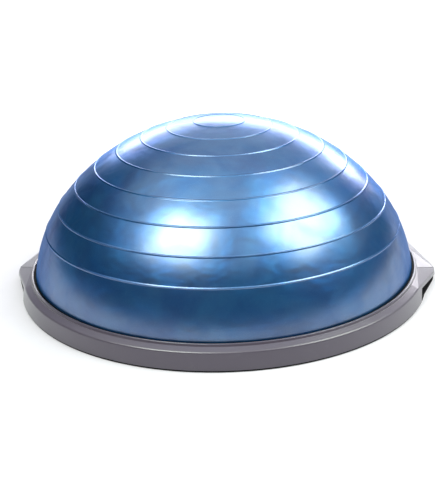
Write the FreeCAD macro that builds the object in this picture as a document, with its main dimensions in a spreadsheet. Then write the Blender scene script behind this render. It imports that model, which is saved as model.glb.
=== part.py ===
import FreeCAD, Part
import math
import os
import Sketcher

# Balance dome trainer: an inflated ribbed half-ball held in a two-grip ring on a flat platform.
# Millimetres, +Z up, rest plane z = 0, grips on +X and -X.

os.makedirs("parts", exist_ok=True)
doc = FreeCAD.newDocument("balance_dome_trainer")

# ---------------------------------------------------------------- driving sizes
sheet = doc.addObject("Spreadsheet::Sheet", "dims")
SIZES = (
    ("base_rad", "310", "ring wall radius at its lower edge"),
    ("ring_foot", "3", "height of the ring wall's lower edge"),
    ("wall_top_inset", "4.5", "inset from the ring wall radius: ring wall radius at the shoulder"),
    ("wall_top", "26", "height of the shoulder"),
    ("band_inset", "14", "inset from the ring wall radius: inner radius of the sloping band"),
    ("band_top", "30", "height of the band's inner edge"),
    ("valley_inset", "15.2", "inset from the ring wall radius: radius of the valley beside the lip"),
    ("valley_top", "29.2", "height of the valley"),
    ("lip_out_inset", "16.7", "inset from the ring wall radius: outer radius of the raised lip"),
    ("lip_in_inset", "19", "inset from the ring wall radius: inner radius of the raised lip"),
    ("lip_top", "32.6", "height of the raised lip"),
    ("clamp_under", "17.2", "underside of the ring over the dome bead"),
    ("clamp_inset", "8", "inset from the ring wall radius: outer radius of that underside"),
    ("wall_in_inset", "4.4", "inset from the ring wall radius: inside of the wall at its foot"),
    ("dome_h", "252", "height of the dome"),
    ("lip_gap", "1.7", "gap between the raised lip and the foot of the dome"),
    ("haunch_ang", "50.7", "degrees from the pole where the two arcs meet"),
    ("foot_ang", "86.2", "degrees from the pole where the skin meets its flange"),
    ("shell_t", "3.4", "dome skin"),
    ("rib_first", "38", "first rib from the pole, along the skin"),
    ("rib_pitch", "40.8", "rib pitch along the skin"),
    ("rib_rad", "2.2", "section radius of a rib"),
    ("rib_sink", "1.2", "depth of the rib centre below the skin"),
    ("flange_low", "10", "underside of the dome flange"),
    ("flange_top", "13.5", "top of the dome flange"),
    ("bead_in_inset", "18", "inset from the ring wall radius: inner radius of the bead"),
    ("bead_out_inset", "13.4", "inset from the ring wall radius: outer radius of the bead"),
    ("bead_top", "17", "top of the bead"),
    ("gasket_gap", "0.45", "gap between the gasket and the dome"),
    ("gasket_drop", "1.3", "gasket top below the top of the lip"),
    ("crease_w", "1.1", "width of the crease along each hip"),
    ("crease_deep", "0.6", "depth of the crease along each hip"),
    ("shoulder_round", "3", "rounding of the ring's shoulder"),
    ("lip_round", "0.9", "rounding of the raised lip"),
    ("edge_round", "2.2", "rounding of the grip edge"),
    ("ear_ang", "20", "degrees each side where a grip leaves the ring"),
    ("ear_nose", "60", "corner radius at the grip nose"),
    ("nose_top", "16", "height of the grip nose"),
    ("hip_ang", "7", "degrees each side where the hip lines meet the lip"),
    ("hip_top", "30.6", "height of the hips at the lip"),
    ("grip_skin", "4.2", "wall left over the finger hollow"),
    ("hollow_half", "99", "half width of the finger hollow"),
    ("hollow_arch", "17.5", "height of the hollow at its ends"),
    ("hollow_round", "13", "corner radius of the hollow arch"),
    ("hollow_inset", "7.8", "inset from the ring wall radius: back of the hollow, liner included"),
    ("liner_t", "1.7", "finger hollow liner"),
    ("tray_inset", "3.2", "edge of a grip tray inside the grip wall"),
    ("tray_t", "2.6", "grip tray thickness"),
    ("tray_gap", "0.6", "gap at each end of a grip tray"),
    ("seat_gap", "0.1", "gap between pieces that seat on each other"),
    ("plate_low", "2", "underside of the platform"),
    ("plate_top", "5", "top of the platform plate"),
    ("plate_inset", "5.4", "inset from the ring wall radius: platform radius inside the ring wall"),
    ("upstand_in_inset", "13", "inset from the ring wall radius: inner radius of the platform upstand"),
    ("upstand_out_inset", "8.2", "inset from the ring wall radius: outer radius of the platform upstand"),
    ("shelf_in_inset", "29", "inset from the ring wall radius: inner radius of the bead shelf"),
    ("deck_low", "7", "underside of the deck plate"),
    ("deck_inset", "29.6", "inset from the ring wall radius: deck plate radius"),
    ("web_t", "2.4", "thickness of the platform's ribs"),
    ("web_sunk", "0.5", "height of the ribs' roots over the plate's underside"),
    ("web_ring_1", "100", "radius of the inner ring rib"),
    ("web_ring_2", "190", "radius of the outer ring rib"),
    ("collar_t", "3", "wall of the valve well collar"),
    ("floor_t", "2.6", "bladder floor thickness"),
    ("pad_in_inset", "21", "inset from the ring wall radius: inner radius of the bumper ring"),
    ("pad_key_inset", "7", "inset from the ring wall radius: outer radius of the bumper's upper part"),
    ("pad_out_inset", "1.2", "inset from the ring wall radius: outer radius of the bumper ring"),
    ("pad_seat", "3.4", "top of the bumper's upper part"),
    ("screw_ring_inset", "10.6", "inset from the ring wall radius: radius of the screw circle"),
    ("screw_rad", "2", "screw shank radius"),
    ("head_rad", "3.4", "screw head radius"),
    ("head_t", "1.1", "screw head height"),
    ("screw_point", "1.5", "length of a screw's pointed end"),
    ("screw_top", "24.5", "top of the screws"),
    ("screw_first", "27", "degrees from a grip to the first screw"),
    ("screw_pitch", "21", "degrees between screws"),
    ("stem_rad", "6", "plug stem radius"),
    ("seat_rad", "9.5", "valve seat barrel radius"),
    ("well_rad", "12.9", "radius of the valve well"),
    ("plug_gap", "0.12", "gap between the plug stem and its seat"),
    ("plug_head", "6", "how far the plug's head stands out from its stem"),
    ("plug_low", "1.4", "underside of the plug"),
    ("plug_high", "4.3", "top of the plug's head"),
    ("notch_run", "6.5", "half length of a finger notch in the plug"),
    ("notch_in", "3.3", "inner edge of a finger notch"),
    ("notch_out", "7.1", "outer edge of a finger notch"),
    ("notch_deep", "1.6", "depth of a finger notch"),
)
row = 0
for alias, value, note in SIZES:
    row += 1
    sheet.set("A%d" % row, note)
    sheet.set("B%d" % row, value)
    sheet.setAlias("B%d" % row, alias)

DERIVED = [
    ("wall_top_rad", "=base_rad - wall_top_inset"),
    ("band_rad", "=base_rad - band_inset"),
    ("valley_rad", "=base_rad - valley_inset"),
    ("lip_out", "=base_rad - lip_out_inset"),
    ("lip_in", "=base_rad - lip_in_inset"),
    ("clamp_rad", "=base_rad - clamp_inset"),
    ("wall_in", "=base_rad - wall_in_inset"),
    ("bead_in", "=base_rad - bead_in_inset"),
    ("bead_out", "=base_rad - bead_out_inset"),
    ("hollow_rad", "=base_rad - hollow_inset"),
    ("plate_rad", "=base_rad - plate_inset"),
    ("upstand_in", "=base_rad - upstand_in_inset"),
    ("upstand_out", "=base_rad - upstand_out_inset"),
    ("shelf_in", "=base_rad - shelf_in_inset"),
    ("deck_rad", "=base_rad - deck_inset"),
    ("pad_in", "=base_rad - pad_in_inset"),
    ("pad_key", "=base_rad - pad_key_inset"),
    ("pad_out", "=base_rad - pad_out_inset"),
    ("screw_ring", "=base_rad - screw_ring_inset"),
    ("foot_aim", "=lip_in - lip_gap"),
    ("rise", "=dome_h - flange_top"),
    ("haunch_sin", "=sin(haunch_ang * 1deg)"),
    ("haunch_cos", "=cos(haunch_ang * 1deg)"),
    ("foot_sin", "=sin(foot_ang * 1deg) - haunch_sin"),
    ("foot_cos", "=haunch_cos - cos(foot_ang * 1deg)"),
    ("arc_det", "=haunch_sin * foot_cos - foot_sin * (1 - haunch_cos)"),
    ("crown_rad", "=(foot_aim * foot_cos - rise * foot_sin) / arc_det"),
    ("haunch_rad", "=(rise * haunch_sin - foot_aim * (1 - haunch_cos)) / arc_det"),
    ("crown_z", "=dome_h - crown_rad"),
    ("join_rad", "=crown_rad * sin(haunch_ang * 1deg)"),
    ("join_z", "=crown_z + crown_rad * cos(haunch_ang * 1deg)"),
    ("core_rad", "=(crown_rad - haunch_rad) * sin(haunch_ang * 1deg)"),
    ("core_z", "=crown_z + (crown_rad - haunch_rad) * cos(haunch_ang * 1deg)"),
    ("skin_rad", "=crown_rad - shell_t"),
    ("skin_haunch", "=haunch_rad - shell_t"),
    ("skin_top", "=dome_h - shell_t"),
    ("skin_join_rad", "=core_rad + skin_haunch * sin(haunch_ang * 1deg)"),
    ("skin_join_z", "=core_z + skin_haunch * cos(haunch_ang * 1deg)"),
    ("foot_rad", "=core_rad + sqrt(haunch_rad^2 - (flange_top - core_z)^2)"),
    ("skin_foot", "=core_rad + sqrt(skin_haunch^2 - (flange_low - core_z)^2)"),
    ("floor_rad", "=skin_foot - 0.45"),
    ("gasket_low", "=clamp_under + 0.1"),
    ("gasket_top", "=lip_top - gasket_drop"),
    ("gasket_mid", "=(gasket_low + gasket_top) / 2"),
    ("gasket_low_rad", "=core_rad + sqrt(haunch_rad^2 - (gasket_low - core_z)^2) + gasket_gap"),
    ("gasket_mid_rad", "=core_rad + sqrt(haunch_rad^2 - (gasket_mid - core_z)^2) + gasket_gap"),
    ("gasket_top_rad", "=core_rad + sqrt(haunch_rad^2 - (gasket_top - core_z)^2) + gasket_gap"),
    ("join_arc", "=crown_rad * haunch_ang * pi / 180"),
    ("taper", "=(base_rad - wall_top_rad) / (wall_top - ring_foot)"),
    ("blank_top", "=hip_top + 4"),
    ("blank_rad", "=base_rad - taper * (blank_top - ring_foot)"),
    ("nose_mid_rad", "=base_rad - taper * (nose_top - ring_foot)"),
    ("nose_run", "=ear_nose * tan(ear_ang * 1deg)"),
    ("head_top", "=pad_seat + head_t"),
    ("shank_top", "=screw_top - screw_point"),
    ("shelf_top", "=flange_low - seat_gap"),
    ("upstand_top", "=clamp_under - seat_gap"),
    ("web_top", "=deck_low - seat_gap"),
    ("deck_top", "=flange_low - seat_gap"),
    ("bumper_key_top", "=pad_seat - seat_gap"),
    ("bumper_step", "=plate_low - seat_gap"),
    ("liner_in_rad", "=hollow_rad + seat_gap"),
    ("liner_out_rad", "=liner_in_rad + liner_t"),
    ("liner_low", "=plate_top + seat_gap"),
    ("tray_half", "=hollow_half - tray_gap"),
    ("plug_stem", "=stem_rad - plug_gap"),
    ("plug_rim", "=stem_rad + plug_head"),
]
for k in range(8):
    s = "(rib_first + %d * rib_pitch)" % k
    name = "rib%d" % (k + 1)
    crown = "%s / crown_rad * 180 / pi" % s
    haunch = "haunch_ang + (%s - join_arc) / haunch_rad * 180 / pi" % s
    DERIVED.append((name + "_ang", "=%s < join_arc ? %s : %s" % (s, crown, haunch)))
    deep = "rib_sink"
    DERIVED.append((name + "_x", "=%s < join_arc ? (crown_rad - %s) * sin(%s_ang * 1deg)"
                    " : core_rad + (haunch_rad - %s) * sin(%s_ang * 1deg)" % (s, deep, name, deep, name)))
    DERIVED.append((name + "_z", "=%s < join_arc ? crown_z + (crown_rad - %s) * cos(%s_ang * 1deg)"
                    " : core_z + (haunch_rad - %s) * cos(%s_ang * 1deg)" % (s, deep, name, deep, name)))
for level, rad in (("low", "base_rad"), ("high", "blank_rad"), ("tray", "tray_rad")):
    if level == "tray":
        DERIVED.append(("tray_rad", "=base_rad - tray_inset"))
    DERIVED.append((level + "_cx", "=%s * cos(ear_ang * 1deg)" % rad))
    DERIVED.append((level + "_cy", "=%s * sin(ear_ang * 1deg)" % rad))
    DERIVED.append((level + "_nx", "=%s / cos(ear_ang * 1deg) - nose_run * sin(ear_ang * 1deg)" % rad))
    DERIVED.append((level + "_ny", "=nose_run * cos(ear_ang * 1deg)"))
DERIVED.append(("root_cx", "=valley_rad * cos(ear_ang * 1deg)"))
DERIVED.append(("root_cy", "=valley_rad * sin(ear_ang * 1deg)"))
for alias, value in DERIVED:
    row += 1
    sheet.set("B%d" % row, value)
    sheet.setAlias("B%d" % row, alias)
doc.recompute()


def size(spec):
    """number behind a sheet name, a signed name or a (name, offset) pair"""
    if isinstance(spec, tuple):
        return size(spec[0]) + spec[1]
    if isinstance(spec, str):
        sign = -1.0 if spec.startswith("-") else 1.0
        return sign * float(sheet.get(spec.lstrip("-")))
    return float(spec)


def rule(spec):
    """expression text for the same"""
    if isinstance(spec, tuple):
        return "%s + %g" % (rule(spec[0]), spec[1])
    if isinstance(spec, str):
        return ("-1 * " if spec.startswith("-") else "") + "dims." + spec.lstrip("-")
    return "%g" % spec


def bind(obj, **props):
    for prop, spec in props.items():
        obj.setExpression(prop.replace("__", "."), rule(spec))
    return obj


def new_body(label):
    body = doc.addObject("PartDesign::Body", label)
    body.Label = label
    return body


def new_sketch(body, role, name, lift=None):
    sk = body.newObject("Sketcher::SketchObject", name)
    plane = [o for o in body.Origin.OriginFeatures if o.Role == role][0]
    sk.AttachmentSupport = [(plane, "")]
    sk.MapMode = "FlatFace"
    if lift is not None:
        sk.setExpression("AttachmentOffset.Base.z", rule(lift))
    return sk


def pin(sk, geo, pos, axis, spec):
    """hold one coordinate of a point by a sheet value"""
    value = size(spec)
    if abs(value) < 1e-9:
        sk.addConstraint(Sketcher.Constraint("PointOnObject", geo, pos, -2 if axis == "X" else -1))
        return
    n = sk.addConstraint(Sketcher.Constraint("Distance" + axis, geo, pos, value))
    if not isinstance(spec, (int, float)):
        sk.setExpression("Constraints[%d]" % n, rule(spec))


def outline(sk, corners, arcs=None):
    """closed chain through corners; arcs = {side: (radius, +1 centre on the left / -1 right)}"""
    arcs = arcs or {}
    pts = [FreeCAD.Vector(size(x), size(y), 0) for x, y in corners]
    count = len(pts)
    first = sk.GeometryCount
    ends = []
    for i in range(count):
        p, q = pts[i], pts[(i + 1) % count]
        if i not in arcs:
            g = sk.addGeometry(Part.LineSegment(p, q), False)
            ends.append((g, 1, 2))
            continue
        radius, side = arcs[i]
        r = size(radius)
        half = (q - p).Length / 2
        mid = (p + q) * 0.5
        along = (q - p).normalize()
        left = FreeCAD.Vector(-along.y, along.x, 0)
        hub = mid + left * (side * math.sqrt(max(r * r - half * half, 0)))
        crown = hub - left * (side * r)
        if side > 0:
            g = sk.addGeometry(Part.Arc(p, crown, q), False)
            ends.append((g, 1, 2))
        else:
            g = sk.addGeometry(Part.Arc(q, crown, p), False)
            ends.append((g, 2, 1))
    for i in range(count):
        g, start, end = ends[i]
        h, nxt, _ = ends[(i + 1) % count]
        sk.addConstraint(Sketcher.Constraint("Coincident", g, end, h, nxt))
    for i in range(count):
        g, start, _ = ends[i]
        pin(sk, g, start, "X", corners[i][0])
        pin(sk, g, start, "Y", corners[i][1])
    for i in arcs:
        n = sk.addConstraint(Sketcher.Constraint("Radius", ends[i][0], size(arcs[i][0])))
        sk.setExpression("Constraints[%d]" % n, rule(arcs[i][0]))
    return first


def ring(sk, x, y, r):
    """circle held by its centre and radius"""
    centre = FreeCAD.Vector(size(x), size(y), 0)
    g = sk.addGeometry(Part.Circle(centre, FreeCAD.Vector(0, 0, 1), size(r)), False)
    if abs(size(x)) < 1e-9 and abs(size(y)) < 1e-9:
        sk.addConstraint(Sketcher.Constraint("Coincident", g, 3, -1, 1))
    else:
        pin(sk, g, 3, "X", x)
        pin(sk, g, 3, "Y", y)
    n = sk.addConstraint(Sketcher.Constraint("Radius", g, size(r)))
    sk.setExpression("Constraints[%d]" % n, rule(r))
    return g


def turn(body, sk, kind="PartDesign::Revolution", name="turned"):
    rev = body.newObject(kind, name)
    rev.Profile = sk
    rev.ReferenceAxis = (sk, ["V_Axis"])
    rev.Angle = 360
    sk.Visibility = False
    doc.recompute()
    return rev


def pad(body, sk, length, name="pad"):
    feat = body.newObject("PartDesign::Pad", name)
    feat.Profile = sk
    feat.Length = size(length)
    feat.setExpression("Length", rule(length))
    doc.recompute()
    return feat


def cylinder(name, rad, low, high, angle=None):
    c = doc.addObject("Part::Cylinder", name)
    c.setExpression("Radius", rule(rad))
    c.setExpression("Height", "%s - (%s)" % (rule(high), rule(low)))
    c.setExpression("Placement.Base.z", rule(low))
    if angle is not None:
        c.setExpression("Angle", "2 * " + rule(angle))
        c.Placement.Rotation = FreeCAD.Rotation(FreeCAD.Vector(0, 0, 1), -size(angle))
        c.setExpression("Placement.Rotation.Angle", "-1 * " + rule(angle))
    return c


def cut(name, base, tool):
    f = doc.addObject("Part::Cut", name)
    f.Base = base
    f.Tool = tool
    return f


def join(name, shapes):
    f = doc.addObject("Part::MultiFuse", name)
    f.Shapes = shapes
    return f


def common(name, a, b):
    f = doc.addObject("Part::MultiCommon", name)
    f.Shapes = [a, b]
    return f


def mirror(name, source):
    f = doc.addObject("Part::Mirroring", name)
    f.Source = source
    f.Base = FreeCAD.Vector(0, 0, 0)
    f.Normal = FreeCAD.Vector(1, 0, 0)
    return f


# ------------------------------------------------ dome skin with eight ribs and a clamped bead
dome = new_body("dome_shell")
sk = new_sketch(dome, "XZ_Plane", "dome_profile")
outline(
    sk,
    [
        ("skin_foot", "flange_low"), ("bead_out", "flange_low"), ("bead_out", "bead_top"),
        ("bead_in", "bead_top"),
        ("bead_in", "flange_top"), ("foot_rad", "flange_top"), ("join_rad", "join_z"), (0, "dome_h"),
        (0, "skin_top"), ("skin_join_rad", "skin_join_z"),
    ],
    {5: ("haunch_rad", 1), 6: ("crown_rad", 1), 8: ("skin_rad", -1), 9: ("skin_haunch", -1)},
)
turn(dome, sk)
sk = new_sketch(dome, "XZ_Plane", "rib_sections")
for k in range(8):
    ring(sk, "rib%d_x" % (k + 1), "rib%d_z" % (k + 1), "rib_rad")
turn(dome, sk, name="ribs")

# ------------------------------------------------ bladder floor welded inside the dome foot
floor_disc = cylinder("floor_disc", "floor_rad", "flange_low", ("flange_low", 0.0))
floor_disc.setExpression("Height", "dims.floor_t")
floor_hole = cylinder("floor_hole", ("seat_rad", 0.0), ("flange_low", -1), ("flange_low", 9))
bladder_floor = cut("bladder_floor", floor_disc, floor_hole)

# ------------------------------------------------ rim ring: tapered wall, sloping band, raised lip
rim = new_body("rim_turned")
sk = new_sketch(rim, "XZ_Plane", "rim_profile")
outline(
    sk,
    [
        ("base_rad", "ring_foot"), ("wall_top_rad", "wall_top"), ("band_rad", "band_top"),
        ("valley_rad", "valley_top"),
        ("lip_out", "lip_top"), ("lip_in", "lip_top"), ("lip_in", "clamp_under"),
        ("clamp_rad", "clamp_under"),
        ("wall_in", "ring_foot"),
    ],
)
turn(rim, sk)


def round_rings(body, rings, radius, name):
    """fillet the circular edges found at the given radius and height"""
    shape = body.Tip.Shape
    picked = []
    for n, e in enumerate(shape.Edges, 1):
        if not hasattr(e.Curve, "Radius"):
            continue
        for r, z in rings:
            if abs(e.Curve.Radius - size(r)) < 0.05 and abs(e.BoundBox.ZMin - size(z)) < 0.05:
                picked.append("Edge%d" % n)
    last = body.Tip
    f = body.newObject("PartDesign::Fillet", name)
    f.Base = (last, sorted(set(picked)))
    f.Radius = size(radius)
    f.setExpression("Radius", rule(radius))
    doc.recompute()
    return f


round_rings(rim, [("wall_top_rad", "wall_top")], "shoulder_round", "shoulder_fillet")
round_rings(rim, [("lip_out", "lip_top"), ("lip_in", "lip_top")], "lip_round", "lip_fillet")

# grip nose: two lines tangent to the wall meeting on the axis, rounded where they meet
nose = new_body("grip_blank")
plans = []
for level, lift in (("low", "ring_foot"), ("high", "blank_top")):
    sk = new_sketch(nose, "XY_Plane", "grip_plan_" + level, lift)
    outline(
        sk,
        [
            ("root_cx", "-root_cy"), (level + "_cx", "-" + level + "_cy"),
            (level + "_nx", "-" + level + "_ny"),
            (level + "_nx", level + "_ny"), (level + "_cx", level + "_cy"), ("root_cx", "root_cy"),
        ],
        {2: ("ear_nose", 1), 5: ("valley_rad", -1)},
    )
    plans.append(sk)
loft = nose.newObject("PartDesign::AdditiveLoft", "grip_loft")
loft.Profile = plans[0]
loft.Sections = [plans[1]]
loft.Ruled = True
doc.recompute()


def roof_block(name, drop):
    """block under the hipped grip roof, lowered by a drop"""
    ang, hip = math.radians(size("ear_ang")), math.radians(size("hip_ang"))
    v = FreeCAD.Vector
    tip_x = size("nose_mid_rad") / math.cos(ang) - size("ear_nose") * (1 / math.cos(ang) - 1)
    tip = v(tip_x, 0, size("nose_top") - drop)
    faces = []
    for s in (-1, 1):
        b = v(
            size("valley_rad") * math.cos(hip), s * size("valley_rad") * math.sin(hip),
            size("hip_top") - drop,
        )
        c = v(
            size("wall_top_rad") * math.cos(ang), s * size("wall_top_rad") * math.sin(ang),
            size("wall_top") - drop,
        )
        e = v(
            size("valley_rad") * math.cos(ang), s * size("valley_rad") * math.sin(ang),
            size("band_top") - drop,
        )
        faces.append((tip, b, c))
        faces.append((b, c, e))
    b0 = v(size("valley_rad") * math.cos(hip), size("valley_rad") * math.sin(hip), size("hip_top") - drop)
    faces.append((tip, b0, v(b0.x, -b0.y, b0.z)))
    block = Part.makeBox(110, 300, 80, v(size("valley_rad") - 45, -150, -20))
    for p, q, r in faces:
        up = (q - p).cross(r - p).normalize()
        if up.z < 0:
            up = up * -1
        lid = Part.makeBox(900, 900, 200, v(-450, -450, 0))
        lid.Placement = FreeCAD.Placement(p, FreeCAD.Rotation(v(0, 0, 1), up))
        lid.Placement.Rotation = FreeCAD.Rotation(v(0, 0, 1), up)
        block = block.cut(lid)
    f = doc.addObject("Part::Feature", name)
    f.Shape = block
    return f


roof = roof_block("grip_roof", 0.0)
inside = doc.addObject("Part::Cone", "grip_inside")
inside.setExpression("Radius1", "dims.wall_in")
inside.setExpression("Radius2", "dims.clamp_rad")
inside.setExpression("Height", "dims.clamp_under - dims.ring_foot")
inside.setExpression("Placement.Base.z", "dims.ring_foot")
grip = common("grip_solid", cut("grip_walls", nose, inside), roof)
doc.recompute()

# round the edge where the roof meets the outer wall
picked = []
shape = grip.Shape
for n, e in enumerate(shape.Edges, 1):
    around = shape.ancestorsOfType(e, Part.Face)
    ups = []
    for f in around:
        u, w = f.Surface.parameter(e.valueAt((e.FirstParameter + e.LastParameter) / 2))
        ups.append(abs(f.normalAt(u, w).z))
    mid = e.valueAt((e.FirstParameter + e.LastParameter) / 2)
    outer = math.hypot(mid.x, mid.y) > size("wall_top_rad") - 1.5
    if len(ups) == 2 and max(ups) > 0.8 and min(ups) < 0.5 and outer and mid.z > size("nose_top") - 4:
        picked.append((n, size("edge_round"), size("edge_round")))
soft = doc.addObject("Part::Fillet", "grip_rounded")
soft.Base = grip
soft.Edges = picked
doc.recompute()
print("grip edges rounded:", len(picked), soft.Shape.isValid(), round(soft.Shape.Volume))


def hip_creases():
    """thin bars that press a crease along both hips of the grip roof"""
    ang, hip = math.radians(size("ear_ang")), math.radians(size("hip_ang"))
    v = FreeCAD.Vector
    tip_x = size("nose_mid_rad") / math.cos(ang) - size("ear_nose") * (1 / math.cos(ang) - 1)
    tip = v(tip_x, 0, size("nose_top"))
    bars = []
    for s in (-1, 1):
        end = v(
            size("valley_rad") * math.cos(hip), s * size("valley_rad") * math.sin(hip),
            size("hip_top"),
        )
        run = end - tip
        run.normalize()
        side = v(0, 0, 1).cross(run)
        side.normalize()
        up = run.cross(side)
        reach = (end - tip).Length - 2.0
        start = tip + run * 0.6 - side * (size("crease_w") / 2) - up * size("crease_deep")
        bar = Part.makeBox(reach, size("crease_w"), 3.0)
        bar.Placement = FreeCAD.Placement(start, FreeCAD.Rotation(run, side, up, "XYZ"))
        bars.append(bar)
    f = doc.addObject("Part::Feature", "hip_crease_bars")
    f.Shape = bars[0].fuse(bars[1])
    return f


creased = cut("grip_creased", soft, hip_creases())
doc.recompute()
print("crease volume:", round(soft.Shape.Volume - creased.Shape.Volume, 1), creased.Shape.isValid())
soft = creased

sector_out = cylinder("sector_out", ("base_rad", 40), ("ring_foot", -4), ("lip_top", 10), "ear_ang")
sector_in = cylinder("sector_in", "valley_rad", ("ring_foot", -6), ("lip_top", 12))
sector = cut("grip_sector", sector_out, sector_in)

# finger hollow: low arch through the grip, its back on a circle, its ceiling parallel to the roof
arch = new_body("hollow_arch_body")
sk = new_sketch(arch, "YZ_Plane", "arch_profile", ("valley_rad", -34))
span, top, rnd = "hollow_half", "hollow_arch", "hollow_round"
row_round = size(rnd)
outline(
    sk,
    [
        ("-" + span, -3.0), (span, -3.0), (span, (top, -row_round)), ((span, -row_round), (top, 3.0)),
        (("-" + span, row_round), (top, 3.0)), ("-" + span, (top, -row_round)),
    ],
)
pad(arch, sk, 90.0, "arch_run")
back = cylinder("hollow_back", "hollow_rad", ("ring_foot", -8), ("lip_top", 20))
arch_cut = cut("arch_open", arch, back)
ceiling = roof_block("hollow_ceiling", size("grip_skin"))
hollow = common("finger_hollow", arch_cut, ceiling)

left_sector = mirror("grip_sector_left", sector)
left_grip = mirror("grip_rounded_left", soft)
left_hollow = mirror("finger_hollow_left", hollow)
rim_cleared = cut("rim_cleared", rim, join("sectors", [sector, left_sector]))
rim_eared = join("rim_eared", [rim_cleared, soft, left_grip])
rim_bored = cut("rim_hollowed", rim_eared, join("hollows", [hollow, left_hollow]))
doc.recompute()

# ---------------------------------------------------------------- rim screws, driven from below
angles = [size("screw_first") + size("screw_pitch") * k for k in range(7)]
angles += [a + 180 for a in angles]
screw = new_body("rim_screws")
sk = new_sketch(screw, "XZ_Plane", "screw_profile")
outline(
    sk,
    [
        (0, "pad_seat"), ("head_rad", "pad_seat"), ("head_rad", "head_top"),
        ("screw_rad", "head_top"),
        ("screw_rad", "shank_top"), (0, "screw_top"),
    ],
)
turn(screw, sk)
# the pattern carries every screw, leaving both grips free
spots = []
for a in angles:
    c = doc.addObject("Part::Feature", "screw_at_%d" % round(a))
    spots.append((c, a))
doc.recompute()
for c, a in spots:
    rad = math.radians(a)
    place = FreeCAD.Vector(size("screw_ring") * math.cos(rad), size("screw_ring") * math.sin(rad), 0)
    c.Shape = screw.Tip.Shape.copy()
    c.Placement = FreeCAD.Placement(place, FreeCAD.Rotation()).multiply(c.Placement)
rim_screws = doc.addObject("Part::Compound", "rim_screw_group")
rim_screws.Links = [c for c, a in spots]
screw_bores = join("screw_bores", [c for c, a in spots])

rim_ring = cut("rim_ring", rim_bored, screw_bores)

# ------------------------------------------------ gasket in the slot between dome and lip
gasket = new_body("rim_gasket")
sk = new_sketch(gasket, "XZ_Plane", "gasket_profile")
outline(
    sk,
    [
        ("gasket_low_rad", "gasket_low"), (("lip_in", -0.1), "gasket_low"),
        (("lip_in", -0.1), "gasket_top"), ("gasket_top_rad", "gasket_top"),
        ("gasket_mid_rad", "gasket_mid"),
    ],
)
turn(gasket, sk)

# ------------------------------------------------ platform: plate, ribs, bead shelf, upstand, trays
plate_disc = cylinder("plate_disc", "plate_rad", "plate_low", "plate_top")
tray = new_body("tray_right")
sk = new_sketch(tray, "XY_Plane", "tray_plan", "plate_low")
outline(
    sk,
    [
        ("root_cx", "-root_cy"), ("tray_cx", "-tray_cy"), ("tray_nx", "-tray_ny"),
        ("tray_nx", "tray_ny"), ("tray_cx", "tray_cy"), ("root_cx", "root_cy"),
    ],
    {2: ("ear_nose", 1), 5: ("valley_rad", -1)},
)
pad(tray, sk, "tray_t", "tray_pad")
tray_window = doc.addObject("Part::Box", "tray_window")
bind(tray_window, Length="base_rad", Width="hollow_half", Height="band_top")
tray_window.setExpression("Width", "2 * dims.tray_half")
tray_window.setExpression("Placement.Base.x", "dims.shelf_in / 2")
tray_window.setExpression("Placement.Base.y", "-1 * dims.tray_half")
tray_trim = common("tray_trimmed", tray, tray_window)
tray_bore = cylinder("tray_bore", ("plate_rad", 0.1), ("plate_low", -1), ("plate_top", 2))
grip_tray_right = cut("grip_tray_right", tray_trim, tray_bore)
grip_tray_left = mirror("grip_tray_left", grip_tray_right)
shelf = cut("bead_shelf", cylinder("shelf_out", "upstand_out", "plate_low", "shelf_top"),
            cylinder("shelf_bore", "shelf_in", ("plate_low", -1), ("flange_low", 1)))
upstand = cut("upstand", cylinder("upstand_body", "upstand_out", "plate_low", "upstand_top"),
              cylinder("upstand_bore", "upstand_in", ("plate_low", -1), ("clamp_under", 1)))
ribs = []
for k in range(12):
    turn_deg = 30 * k + 15
    b = doc.addObject("Part::Box", "plate_rib_%02d" % (k + 1))
    b.setExpression("Length", "dims.shelf_in - dims.well_rad - 10")
    b.setExpression("Width", "dims.web_t")
    b.setExpression("Height", "dims.web_top - dims.plate_low - dims.web_sunk")
    a = math.radians(turn_deg)
    side = FreeCAD.Vector(math.sin(a), -math.cos(a), 0) * (size("web_t") / 2)
    start = FreeCAD.Vector(math.cos(a), math.sin(a), 0) * (size("well_rad") + 12) + side
    b.Placement = FreeCAD.Placement(
        FreeCAD.Vector(start.x, start.y, size("plate_low") + size("web_sunk")),
        FreeCAD.Rotation(FreeCAD.Vector(0, 0, 1), turn_deg),
    )
    ribs.append(b)
for k in (1, 2):
    middle, half = "web_ring_%d" % k, size("web_t") / 2
    outer = cylinder("ring_rib_out_%d" % k, (middle, half), ("plate_low", size("web_sunk")), "web_top")
    inner = cylinder("ring_rib_in_%d" % k, (middle, -half), "plate_low", "deck_low")
    ribs.append(cut("ring_rib_%d" % k, outer, inner))
collar_rad = ("well_rad", size("collar_t"))
collar = cylinder("well_collar", collar_rad, "plate_low", "web_top")
platform_raw = join("platform_raw", [plate_disc, shelf, upstand, collar] + ribs)
well = cylinder("valve_well", "well_rad", ("plate_low", -2), ("deck_low", 1))
groove = cut("bumper_groove",
             cylinder("groove_out", ("pad_key", 0.1), ("plate_low", -3), ("pad_seat", 0.0)),
             cylinder("groove_in", ("pad_in", -0.1), ("plate_low", -4), ("pad_seat", 1)))
platform_cut = cut("platform_grooved", platform_raw, join("platform_openings", [well, groove]))
base_platform = cut("base_platform", platform_cut, screw_bores)

# ---------------------------------------------------------------- deck plate under the bladder
deck_hole = cylinder("deck_hole", ("seat_rad", 0.1), ("deck_low", -1), ("flange_low", 1))
deck_disc = cylinder("deck_disc", "deck_rad", "deck_low", "deck_top")
deck_plate = cut("deck_plate", deck_disc, deck_hole)

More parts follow.
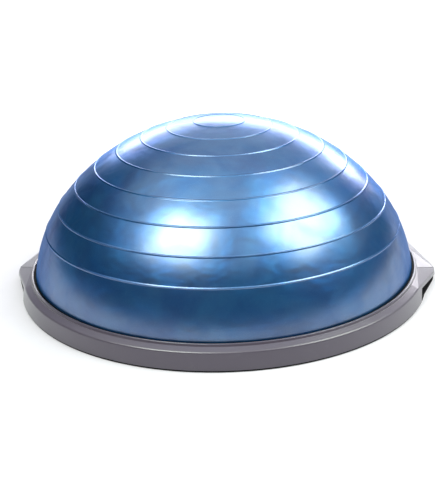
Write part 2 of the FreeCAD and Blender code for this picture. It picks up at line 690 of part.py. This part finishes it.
# ------------------------------------------------ bumper ring: black rubber, stepped section
bumper = new_body("bumper_ring")
sk = new_sketch(bumper, "XZ_Plane", "bumper_profile")
outline(
    sk,
    [
        ("pad_in", 0.8), (("pad_in", 0.8), 0), (("pad_out", -0.6), 0), ("pad_out", 0.6),
        ("pad_out", "bumper_step"),
        ("pad_key", "bumper_step"), ("pad_key", "bumper_key_top"),
        ("pad_in", "bumper_key_top"),
    ],
)
turn(bumper, sk)

# ------------------------------------------------ finger hollow liners, black, behind each grip
liner_out = cylinder("liner_out", "liner_out_rad", "liner_low", ("hollow_arch", 2.9))
liner_in = cylinder("liner_in", "liner_in_rad", ("plate_top", -1), ("hollow_arch", 6))
liner_ring = cut("liner_ring", liner_out, liner_in)
liner_fit = new_body("liner_window")
sk = new_sketch(liner_fit, "YZ_Plane", "liner_window_profile", ("valley_rad", -34))
outline(
    sk,
    [
        (("-" + span, 0.3), -2.7), ((span, -0.3), -2.7), ((span, -0.3), (top, -row_round)),
        ((span, -row_round), (top, 2.7)), (("-" + span, row_round), (top, 2.7)),
        (("-" + span, 0.3), (top, -row_round)),
    ],
)
pad(liner_fit, sk, 90.0, "liner_window_run")
liner_ceiling = roof_block("liner_ceiling", size("grip_skin") + 0.15)
liner_arch = common("liner_arched", liner_ring, liner_fit)
grip_liner_right = common("grip_liner_right", liner_arch, liner_ceiling)
grip_liner_left = mirror("grip_liner_left", grip_liner_right)

# ---------------------------------------------------------------- valve seat and its pull-out plug
seat = new_body("valve_seat")
sk = new_sketch(seat, "XZ_Plane", "seat_profile")
outline(
    sk,
    [
        ("stem_rad", 4.4), (("seat_rad", 3.2), 4.4), (("seat_rad", 3.2), ("deck_low", -0.1)),
        ("seat_rad", ("deck_low", -0.1)), ("seat_rad", ("flange_low", 2.7)),
        (("seat_rad", 6), ("flange_low", 2.7)),
        (("seat_rad", 5), ("flange_low", 4.6)), ("stem_rad", ("flange_low", 4.6)),
    ],
)
turn(seat, sk)

plug = new_body("valve_plug")
sk = new_sketch(plug, "XZ_Plane", "plug_profile")
outline(
    sk,
    [
        (0, "plug_low"), (("plug_rim", -0.6), "plug_low"), ("plug_rim", ("plug_low", 0.6)),
        ("plug_rim", ("plug_high", -0.9)), (("plug_rim", -0.6), "plug_high"),
        ("plug_stem", "plug_high"), ("plug_stem", ("flange_low", 2.6)),
        (("stem_rad", -1.4), ("flange_low", 6)),
        (0, ("flange_low", 6)),
    ],
)
turn(plug, sk)
for number, sign in ((1, ""), (2, "-")):
    sk = new_sketch(plug, "XY_Plane", "finger_notch_%d" % number, "plug_low")
    near, far = sign + "notch_in", sign + "notch_out"
    corners = [("-notch_run", near), ("notch_run", near), ("notch_run", far), ("-notch_run", far)]
    outline(sk, corners)
    before = plug.Tip.Shape.Volume
    notch = plug.newObject("PartDesign::Pocket", "notch_%d" % number)
    notch.Profile = sk
    notch.setExpression("Length", rule("notch_deep"))
    notch.Reversed = True
    doc.recompute()
    print("notch volume change", round(before - plug.Tip.Shape.Volume, 1))

doc.recompute()
PARTS = (
    ("dome_shell", dome), ("bladder_floor", bladder_floor), ("rim_ring", rim_ring),
    ("rim_gasket", gasket),
    ("base_platform", base_platform), ("deck_plate", deck_plate), ("bumper_ring", bumper),
    ("grip_tray_right", grip_tray_right), ("grip_tray_left", grip_tray_left),
    ("grip_liner_right", grip_liner_right), ("grip_liner_left", grip_liner_left),
    ("rim_screws", rim_screws),
    ("valve_seat", seat), ("valve_plug", plug),
)
bad = [o.Name for o in doc.Objects if "Invalid" in o.State or "Error" in o.State]
if bad:
    for o in doc.Objects:
        if o.Name in bad:
            print(o.Name, o.State, o.getStatusString())
    raise RuntimeError("objects in error: %s" % ", ".join(bad))
for label, obj in PARTS:
    shape = obj.Shape
    if shape.isNull() or not shape.isValid():
        raise RuntimeError("bad shape: " + label)
    if obj.Label != label:
        obj.Label = label
    shape.exportStep("parts/%s.step" % label)
    box = shape.BoundBox
    print("%-18s solids %d vol %.0f  z %.2f..%.2f  x %.1f..%.1f" % (
        label, len(shape.Solids), shape.Volume, box.ZMin, box.ZMax, box.XMin, box.XMax))
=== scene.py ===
import math

import bpy
from mathutils import Matrix, Vector


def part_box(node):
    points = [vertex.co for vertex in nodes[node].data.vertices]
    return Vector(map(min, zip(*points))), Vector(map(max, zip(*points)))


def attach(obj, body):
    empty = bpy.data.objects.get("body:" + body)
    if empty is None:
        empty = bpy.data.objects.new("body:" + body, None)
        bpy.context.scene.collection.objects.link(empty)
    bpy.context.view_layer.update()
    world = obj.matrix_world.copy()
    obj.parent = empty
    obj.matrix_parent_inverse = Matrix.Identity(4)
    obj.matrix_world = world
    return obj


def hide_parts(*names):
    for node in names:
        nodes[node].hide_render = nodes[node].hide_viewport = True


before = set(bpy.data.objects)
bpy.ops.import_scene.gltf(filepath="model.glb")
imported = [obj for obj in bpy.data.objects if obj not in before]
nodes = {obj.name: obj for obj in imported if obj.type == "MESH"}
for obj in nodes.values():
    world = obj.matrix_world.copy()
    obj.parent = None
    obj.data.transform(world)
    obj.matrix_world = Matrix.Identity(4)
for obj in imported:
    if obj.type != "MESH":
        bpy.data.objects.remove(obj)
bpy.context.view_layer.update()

# ---------------------------------------------------------------- platform
# The round tray that carries everything: a flat plate with an upstand and ribs,
# injection moulded in black plastic with a fine spark-eroded grain and the
# concentric lines that the turned mould leaves.


class Wire:
    """One shader output; sums written on it become Math nodes."""

    def __init__(self, tree, socket):
        self.tree = tree
        self.socket = socket

    def join(self, operation, first, second):
        step = self.tree.nodes.new("ShaderNodeMath")
        step.operation = operation
        for slot, value in zip(step.inputs, (first, second)):
            if isinstance(value, Wire):
                self.tree.links.new(value.socket, slot)
            else:
                slot.default_value = value
        return Wire(self.tree, step.outputs[0])

    def __add__(self, other):
        return self.join("ADD", self, other)

    def __radd__(self, other):
        return self.join("ADD", other, self)

    def __sub__(self, other):
        return self.join("SUBTRACT", self, other)

    def __rsub__(self, other):
        return self.join("SUBTRACT", other, self)

    def __mul__(self, other):
        return self.join("MULTIPLY", self, other)

    def __rmul__(self, other):
        return self.join("MULTIPLY", other, self)

    def __pow__(self, other):
        return self.join("POWER", self, other)


class Finish:
    """A material, or a world, put together node by node."""

    def __init__(self, name, holder=None):
        self.data = holder or bpy.data.materials.new(name)
        self.data.use_nodes = True
        self.tree = self.data.node_tree
        self.tree.nodes.clear()

    def node(self, kind, settings=None, values=None, out=0):
        made = self.tree.nodes.new(kind)
        for key, setting in (settings or {}).items():
            setattr(made, key, setting)
        for key, value in (values or {}).items():
            if isinstance(value, Wire):
                self.tree.links.new(value.socket, made.inputs[key])
            else:
                made.inputs[key].default_value = value
        return Wire(self.tree, made.outputs[out]) if made.outputs else None

    def place(self):
        return self.node("ShaderNodeTexCoord", out="Object")

    def axes(self, where):
        split = self.node("ShaderNodeSeparateXYZ", None, {0: where}).socket.node
        return [Wire(self.tree, socket) for socket in split.outputs]

    def radius(self, where):
        across, along, _ = self.axes(where)
        return (across * across + along * along) ** 0.5

    def noise(self, where, scale, detail, rough=0.5, warp=0.0):
        return self.node("ShaderNodeTexNoise", {"noise_dimensions": "3D"}, {
            "Vector": where, "Scale": scale, "Detail": detail, "Roughness": rough, "Distortion": warp,
        })

    def stretched(self, where, scales, detail, rough=0.5, warp=0.0):
        """Noise with a scale of its own along each axis."""
        squeezed = self.node("ShaderNodeMapping", None, {0: where, "Scale": scales})
        return self.noise(squeezed, 1.0, detail, rough, warp)

    def spread(self, value, low, high, to_low=0.0, to_high=1.0):
        return self.node("ShaderNodeMapRange", {"clamp": True, "interpolation_type": "SMOOTHSTEP"}, {
            "Value": value, "From Min": low, "From Max": high, "To Min": to_low, "To Max": to_high,
        })

    def blend(self, share, first, second):
        return self.node("ShaderNodeMix", {"data_type": "RGBA"}, {0: share, 6: first, 7: second}, out=2)

    def bump(self, height, distance, strength, under=None):
        values = {"Height": height, "Distance": distance, "Strength": strength}
        if under:
            values["Normal"] = under
        return self.node("ShaderNodeBump", None, values)

    def surface(self, **values):
        named = {key.replace("_", " "): value for key, value in values.items()}
        shader = self.node("ShaderNodeBsdfPrincipled", None, named)
        self.node("ShaderNodeOutputMaterial", None, {"Surface": shader})
        return self.data


def dress(node, material):
    for slot in nodes[node].material_slots:
        slot.material = material


black_plastic = Finish("platform moulded black plastic")
at = black_plastic.place()
mould_wave = 2100.0
swing = black_plastic.radius(at) * mould_wave
lines = black_plastic.node("ShaderNodeMath", {"operation": "SINE"}, {0: swing})
grain = black_plastic.noise(at, 1500.0, 3.0)
cloud = black_plastic.noise(at, 9.0, 4.0, 0.6)
scuff = black_plastic.spread(black_plastic.noise(at, 38.0, 6.0, 0.7, 0.6), 0.56, 0.72)
tone = black_plastic.blend(cloud, (0.020, 0.020, 0.022, 1), (0.034, 0.033, 0.037, 1))
tone = black_plastic.blend(scuff * 0.35, tone, (0.075, 0.073, 0.078, 1))
relief = black_plastic.bump(lines, 0.00003, 0.6, black_plastic.bump(grain, 0.00006, 0.8))
dark_plastic = black_plastic.surface(
    Base_Color=tone, Roughness=0.44 + 0.16 * cloud + 0.1 * scuff, Normal=relief, IOR=1.49,
)
dress("base_platform", dark_plastic)

# ---------------------------------------------------------------- deck plate and bladder floor
# A stiff board inside the platform carries the weight of the user; the blue
# sheet over it is welded to the dome and closes the air bladder.

board = Finish("deck pressed board")
at = board.place()
fibre = board.noise(at, 420.0, 5.0, 0.65, 0.8)
knot = board.noise(at, 14.0, 3.0)
tone = board.blend(fibre, (0.16, 0.14, 0.11, 1), (0.27, 0.24, 0.19, 1))
pressed_board = board.surface(
    Base_Color=tone, Roughness=0.66 + 0.16 * knot, Normal=board.bump(fibre, 0.0001, 0.7),
)
dress("deck_plate", pressed_board)

sheet = Finish("bladder floor sheet")
at = sheet.place()
flow = sheet.noise(at, 18.0, 4.0, 0.6)
pore = sheet.noise(at, 900.0, 2.0)
tone = sheet.blend(flow, (0.045, 0.12, 0.25, 1), (0.07, 0.17, 0.33, 1))
floor_sheet = sheet.surface(
    Base_Color=tone, Roughness=0.42 + 0.12 * flow, Normal=sheet.bump(pore, 0.00006, 0.7),
)
dress("bladder_floor", floor_sheet)

# ---------------------------------------------------------------- dome
# The inflated half ball: 3.4 mm PVC with pearl pigment, rotationally moulded in
# one piece. Eight low rings stand out of the skin for grip, and the foot ends
# in a flange and a bead that the rim ring clamps.

dome_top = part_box("dome_shell")[1][2]
wall = 0.0034
foot_radius = 0.2893
foot_height = 0.0135
crown_turn = math.radians(50.7)
foot_turn = math.radians(86.2)
sin_c = math.sin(crown_turn)
cos_c = math.cos(crown_turn)
sin_f = math.sin(foot_turn) - sin_c
cos_f = cos_c - math.cos(foot_turn)
det = sin_c * cos_f - sin_f * (1 - cos_c)
crown = (foot_radius * cos_f - (dome_top - foot_height) * sin_f) / det
haunch = ((dome_top - foot_height) * sin_c - foot_radius * (1 - cos_c)) / det
crown_run = crown * crown_turn
skin_run = crown_run + haunch * (foot_turn - crown_turn)


def skin_point(run, lift=0.0):
    """Radius and height on the skin, a run away from the pole, lifted off it."""
    if run < crown_run:
        turn = run / crown
        return (crown + lift) * math.sin(turn), dome_top - crown + (crown + lift) * math.cos(turn)
    turn = crown_turn + (run - crown_run) / haunch
    middle_r = (crown - haunch) * sin_c
    middle_z = dome_top - crown + (crown - haunch) * cos_c
    return middle_r + (haunch + lift) * math.sin(turn), middle_z + (haunch + lift) * math.cos(turn)


ring_count = 8
first_ring = 0.038
ring_pitch = 0.0408
ring_half = 0.0018
ring_lift = 0.0007
ring_ease = 0.0012
ring_toe = ring_half + 0.4 * ring_ease
ring_steps = 4
skin_step = 0.0068
inner_steps = 30
ring_runs = [first_ring + ring_pitch * k for k in range(ring_count)]
profile = [(0.0, dome_top)]
run = 0.0
for middle in ring_runs + [skin_run]:
    last = middle - ring_half - ring_ease if middle < skin_run else skin_run
    steps = max(2, round((last - run) / skin_step))
    for k in range(1, steps + 1):
        profile.append(skin_point(run + (last - run) * k / steps))
    if middle < skin_run:
        profile.append(skin_point(middle - ring_toe))
        for k in range(-ring_steps, ring_steps + 1):
            offset = ring_half * k / ring_steps
            lift = ring_lift * (0.5 + 0.5 * math.cos(math.pi * offset / ring_half))
            profile.append(skin_point(middle + offset, lift))
        profile.append(skin_point(middle + ring_toe))
        run = middle + ring_half + ring_ease
        profile.append(skin_point(run))
flange_in = 0.2862
flange_under = 0.0100
flange_ease = 0.0006
bead_in = 0.2920
bead_out = 0.2966
bead_top = 0.0170
bead_round = 0.0004
profile += [
    (bead_in - flange_ease, foot_height),
    (bead_in, foot_height + flange_ease),
    (bead_in, bead_top - bead_round),
    (bead_in + bead_round, bead_top),
    (bead_out - bead_round, bead_top),
    (bead_out, bead_top - bead_round),
    (bead_out, flange_under + bead_round),
    (bead_out - bead_round, flange_under),
    (flange_in, flange_under),
]
for k in range(inner_steps, -1, -1):
    r, z = skin_point(skin_run * k / inner_steps, -wall)
    profile.append((max(r, 0.0), z))

bpy.ops.object.select_all(action="DESELECT")
bpy.ops.mesh.primitive_circle_add(vertices=3, radius=0.001, fill_type="NOTHING", location=(0, 0, 0))
dome = bpy.context.object
dome.name = "dome_skin"
bpy.ops.object.mode_set(mode="EDIT")
bpy.ops.mesh.select_all(action="SELECT")
bpy.ops.mesh.merge(type="CENTER")
bpy.ops.transform.translate(value=(profile[0][0], 0, profile[0][1]))
for before, after in zip(profile, profile[1:]):
    bpy.ops.mesh.extrude_region_move(
        TRANSFORM_OT_translate={"value": (after[0] - before[0], 0, after[1] - before[1])}
    )
bpy.ops.mesh.select_all(action="SELECT")
facets = 192
weld = 0.00002
bpy.ops.mesh.spin(steps=facets, angle=2 * math.pi, center=(0, 0, 0), axis=(0, 0, 1))
bpy.ops.mesh.select_all(action="SELECT")
bpy.ops.mesh.remove_doubles(threshold=weld)
bpy.ops.mesh.normals_make_consistent(inside=False)
bpy.ops.object.mode_set(mode="OBJECT")
bpy.ops.object.shade_smooth_by_angle(angle=math.radians(50))

pearl = Finish("dome pearl blue skin")
at = pearl.place()
cloud = pearl.noise(at, 7.5, 4.0, 0.6, 0.9)
streak = pearl.stretched(at, (8.0, 8.0, 20.0), 3.0, 0.55, 0.5)
bloom = pearl.noise(at, 15.0, 3.0, 0.55, 1.2)
flake = pearl.noise(at, 1700.0, 1.0)
pore = pearl.noise(at, 1100.0, 1.0)
swell = pearl.noise(at, 9.0, 1.5, 0.5)
brush = pearl.stretched(at, (19.0, 19.0, 30.0), 2.0, 0.5, 0.3)
patch = pearl.spread(cloud * 0.7 + bloom * 0.3, 0.34, 0.66)
tone = pearl.blend(patch, (0.004, 0.094, 0.320, 1), (0.013, 0.164, 0.430, 1))
tone = pearl.blend(pearl.spread(flake, 0.60, 0.74) * 0.3, tone, (0.08, 0.34, 0.62, 1))
waves = pearl.bump(brush, 0.0036, 0.8, pearl.bump(swell, 0.0150, 0.8))
relief = pearl.bump(pore, 0.000006, 0.8, waves)
rim_of_view = pearl.node("ShaderNodeLayerWeight", None, {"Blend": 0.5}, out="Facing")
edge_on = pearl.spread(rim_of_view, 0.50, 0.90)
gloss = 0.76 + 0.24 * pearl.spread(bloom, 0.34, 0.60)
pearl_skin = pearl.surface(
    Base_Color=tone,
    Metallic=0.80,
    Roughness=0.33 + 0.14 * streak,
    Specular_Tint=(0.35, 0.50, 0.85, 1),
    Normal=relief,
    Coat_Weight=gloss * (1.0 - 0.85 * edge_on),
    Coat_Roughness=0.26,
    Coat_IOR=2.30,
    IOR=1.5,
)
dome.data.materials.append(pearl_skin)
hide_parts("dome_shell")
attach(dome, "trainer")

# ---------------------------------------------------------------- gasket
# A black rubber strip squeezed between the lip of the rim ring and the skin,
# extruded and joined end to end. Its black stands in for the shadow in the seam
# between lip and skin: painted shade.

rubber = Finish("black rubber and painted seam shade")
at = rubber.place()
dust = rubber.spread(rubber.noise(at, 60.0, 6.0, 0.7), 0.5, 0.75)
skin = rubber.noise(at, 1100.0, 3.0)
# Near black: painted shade for the seam between lip and skin; the valve seat uses the same black rubber.
tone = rubber.blend(dust * 0.5, (0.003, 0.003, 0.004, 1), (0.010, 0.010, 0.011, 1))
black_rubber_and_seam_shade = rubber.surface(
    Base_Color=tone, Roughness=0.75 + 0.2 * dust, Normal=rubber.bump(skin, 0.00008, 0.8), IOR=1.35,
    Specular_IOR_Level=0.15,
)
dress("rim_gasket", black_rubber_and_seam_shade)

# ---------------------------------------------------------------- rim ring with its two grips
# The grey ring that clamps the dome: one injection moulding with a tapered wall,
# a sloping band, a raised lip and a hipped grip on each side, satin grained.

grey = Finish("rim moulded grey plastic")
at = grey.place()
height = grey.axes(at)[2]
cloud = grey.noise(at, 6.0, 4.0, 0.6, 0.4)
grain = grey.noise(at, 1300.0, 3.0, 0.6)
ripple = grey.noise(at, 55.0, 2.0)
scuff = grey.spread(grey.noise(at, 46.0, 7.0, 0.72, 0.8), 0.57, 0.70)
# low marks the foot of the wall: it gathers scuffs of wear there, and it darkens the foot as painted shade
# near the floor.
low = grey.spread(height, 0.002, 0.012, 1.0, 0.0)
tone = grey.blend(cloud, (0.086, 0.068, 0.100, 1), (0.102, 0.082, 0.118, 1))
tone = grey.blend(scuff * (0.08 + 0.22 * low), tone, (0.27, 0.25, 0.29, 1))
# Darker towards the floor: painted shade at the foot of the wall.
tone = grey.blend(low * 0.35, tone, (0.07, 0.06, 0.08, 1))
relief = grey.bump(grain, 0.00007, 0.7, grey.bump(ripple, 0.00012, 0.5))
rim_plastic = grey.surface(
    Base_Color=tone, Roughness=0.28 + 0.08 * cloud + 0.12 * scuff, Normal=relief, IOR=1.85,
    Sheen_Weight=0.70,
    Sheen_Roughness=0.42,
)
dress("rim_ring", rim_plastic)

# ---------------------------------------------------------------- finger hollows
# Under each grip a black tray closes the bottom and a black liner backs the
# hollow that the fingers reach into; both are moulded and clip into the ring.
# Their black also stands in for the shade inside the hollow: painted shade.

hollow_black = Finish("hollow black plastic and painted shade")
at = hollow_black.place()
grain = hollow_black.noise(at, 1400.0, 3.0)
cloud = hollow_black.noise(at, 16.0, 4.0, 0.6)
# Near black: black plastic, and also painted shade for the inside of the finger hollows.
tone = hollow_black.blend(cloud, (0.004, 0.004, 0.005, 1), (0.010, 0.009, 0.012, 1))
black_and_hollow_shade = hollow_black.surface(
    Base_Color=tone, Roughness=0.62 + 0.18 * cloud, Normal=hollow_black.bump(grain, 0.00006, 0.8), IOR=1.45,
    Specular_IOR_Level=0.25,
)
for piece in ("grip_tray_right", "grip_tray_left", "grip_liner_right", "grip_liner_left"):
    dress(piece, black_and_hollow_shade)

# ---------------------------------------------------------------- screws
# Fourteen thread-forming screws of zinc-plated steel pull the ring down onto the
# platform from below.

zinc = Finish("zinc plated steel")
at = zinc.place()
brush = zinc.stretched(at, (900.0, 900.0, 160.0), 3.0)
spot = zinc.noise(at, 260.0, 4.0, 0.6)
tone = zinc.blend(spot, (0.50, 0.50, 0.49, 1), (0.68, 0.68, 0.66, 1))
plated_steel = zinc.surface(
    Base_Color=tone, Metallic=1.0, Roughness=0.26 + 0.18 * spot, Normal=zinc.bump(brush, 0.00003, 0.7),
)
dress("rim_screws", plated_steel)

# ---------------------------------------------------------------- bumper ring
# A stepped ring of black rubber pressed into the groove under the platform; it
# keeps the trainer from sliding and stands 2 mm proud of the plate.

tread = Finish("bumper tread rubber")
at = tread.place()
groove_wave = 2500.0
swing = tread.radius(at) * groove_wave
groove = tread.node("ShaderNodeMath", {"operation": "SINE"}, {0: swing})
dust = tread.spread(tread.noise(at, 70.0, 6.0, 0.7), 0.48, 0.72)
skin = tread.noise(at, 1000.0, 3.0)
tone = tread.blend(dust * 0.4, (0.003, 0.003, 0.004, 1), (0.014, 0.014, 0.014, 1))
relief = tread.bump(groove, 0.00025, 0.8, tread.bump(skin, 0.00008, 0.7))
tread_rubber = tread.surface(Base_Color=tone, Roughness=0.66 + 0.2 * dust, Normal=relief, IOR=1.40)
dress("bumper_ring", tread_rubber)

# ---------------------------------------------------------------- valve seat and plug
# The air valve in the middle of the underside: a rubber seat glued into the
# bladder floor and a push-in plug of tough grey plastic with two finger notches.

dress("valve_seat", black_rubber_and_seam_shade)
stopper = Finish("plug tough plastic")
at = stopper.place()
cloud = stopper.noise(at, 120.0, 4.0, 0.6)
grain = stopper.noise(at, 1600.0, 2.0)
tone = stopper.blend(cloud, (0.10, 0.10, 0.11, 1), (0.15, 0.15, 0.165, 1))
plug_plastic = stopper.surface(
    Base_Color=tone, Roughness=0.36 + 0.14 * cloud, Normal=stopper.bump(grain, 0.00005, 0.7), IOR=1.5,
)
dress("valve_plug", plug_plastic)

# ---------------------------------------------------------------- studio floor
# A plain pale floor under the trainer; it isn't part of the object.

bpy.ops.object.select_all(action="DESELECT")
bpy.ops.mesh.primitive_grid_add(x_subdivisions=4, y_subdivisions=4, size=14.0, location=(0, 0, 0))
floor = bpy.context.object
floor.name = "studio_floor"
paper = Finish("studio white paper")
seen = paper.node("ShaderNodeLightPath", out="Is Camera Ray")
mirrored = paper.node("ShaderNodeLightPath", out="Is Glossy Ray")
at = paper.place()
sheet_grain = paper.noise(at, 30.0, 3.0)
tone = paper.blend(sheet_grain, (0.575, 0.55, 0.60, 1), (0.615, 0.59, 0.64, 1))
matt = paper.node("ShaderNodeBsdfDiffuse", None, {"Color": tone})
far = paper.spread(paper.radius(at), 0.42, 1.3)
lift = (0.28 + 0.75 * far) * seen + (0.03 + 0.25 * far) * mirrored
glow = paper.node("ShaderNodeEmission", None, {"Color": (1, 1, 1, 1), "Strength": lift})
both = paper.node("ShaderNodeAddShader", None, {0: matt, 1: glow})
paper.node("ShaderNodeOutputMaterial", None, {"Surface": both})
floor.data.materials.append(paper.data)

# ---------------------------------------------------------------- studio light
# Three soft boxes, high on the left in front, high on the right and low behind,
# with a white backdrop behind and a dim room in front.

room = Finish("studio room", bpy.data.worlds.new("studio_room"))
bpy.context.scene.world = room.data
toward = room.node("ShaderNodeTexCoord", out="Generated")
side, back, high = room.axes(toward)
seen = room.node("ShaderNodeLightPath", out="Is Camera Ray")
wall_part = room.spread(back, 0.74, 0.94) * room.spread(high, 0.42, 0.18)
top_part = room.spread(high, 0.52, 0.92)
haze_part = room.spread(back, 0.64, 0.82) * room.spread(high, 0.30, 0.50)
side_part = room.spread(side, 0.60, 0.95) * room.spread(high, 0.10, 0.45)
level = 0.022 + 0.90 * wall_part + 0.80 * top_part + 0.75 * haze_part + 0.35 * side_part
shade = room.blend(room.spread(level, 0.1, 0.5), (0.66, 0.60, 1.0, 1), (0.94, 0.98, 1.0, 1))
tone = room.node("ShaderNodeBackground", None, {"Color": shade, "Strength": level})
white = room.node("ShaderNodeBackground", None, {"Color": (1, 1, 1, 1), "Strength": 1.0})
mixed = room.node("ShaderNodeMixShader", None, {0: seen, 1: tone, 2: white})
room.node("ShaderNodeOutputWorld", None, {"Surface": mixed})

aim = Vector((0, 0, 0.12))


def soft_box(name, turn, rise, reach, wide, tall, watts, tint):
    """An area lamp that looks at the dome from a bearing and a height."""
    turn = math.radians(turn)
    rise = math.radians(rise)
    out = Vector((math.sin(turn) * math.cos(rise), -math.cos(turn) * math.cos(rise), math.sin(rise)))
    bpy.ops.object.light_add(type="AREA", location=aim + out * reach)
    lamp = bpy.context.object
    lamp.name = name
    lamp.rotation_euler = out.to_track_quat("Z", "Y").to_euler()
    lamp.data.shape = "RECTANGLE"
    lamp.data.size = wide
    lamp.data.size_y = tall
    lamp.data.energy = watts
    lamp.data.color = tint
    lamp.visible_camera = False


soft_box("soft_box_left", -36, 54, 1.8, 0.88, 0.82, 21.0, (0.91, 1.0, 0.88))
soft_box("soft_box_right", 81, 48, 1.8, 1.28, 0.94, 25.0, (0.91, 1.0, 0.88))
soft_box("soft_box_back", 177, 15, 2.2, 2.70, 0.60, 50.0, (0.98, 0.95, 1.0))

# ---------------------------------------------------------------- camera
# A long lens from the front, a little to the right and looking down.

eye = Vector((0.1073, -1.3633, 0.5867))
bearing = math.radians(4.5)
right = Vector((math.cos(bearing), math.sin(bearing), 0))
ahead = -eye.normalized()
above = right.cross(ahead)
for axis_name, amount in (("pan", 0.00575), ("tilt", 0.0306), ("roll", 0.02989)):
    axis = {"pan": above, "tilt": right, "roll": ahead}[axis_name]
    turn = Matrix.Rotation(amount, 3, axis)
    right, ahead, above = turn @ right, turn @ ahead, turn @ above
bpy.ops.object.camera_add(location=eye)
camera = bpy.context.object
camera.name = "studio_camera"
camera.matrix_world = Matrix((
    (right.x, above.x, -ahead.x, eye.x),
    (right.y, above.y, -ahead.y, eye.y),
    (right.z, above.z, -ahead.z, eye.z),
    (0, 0, 0, 1),
))
camera.data.lens = 69.0
camera.data.sensor_width = 36.0
camera.data.clip_start = 0.05
bpy.context.scene.camera = camera
bpy.context.scene.view_settings.view_transform = "Standard"
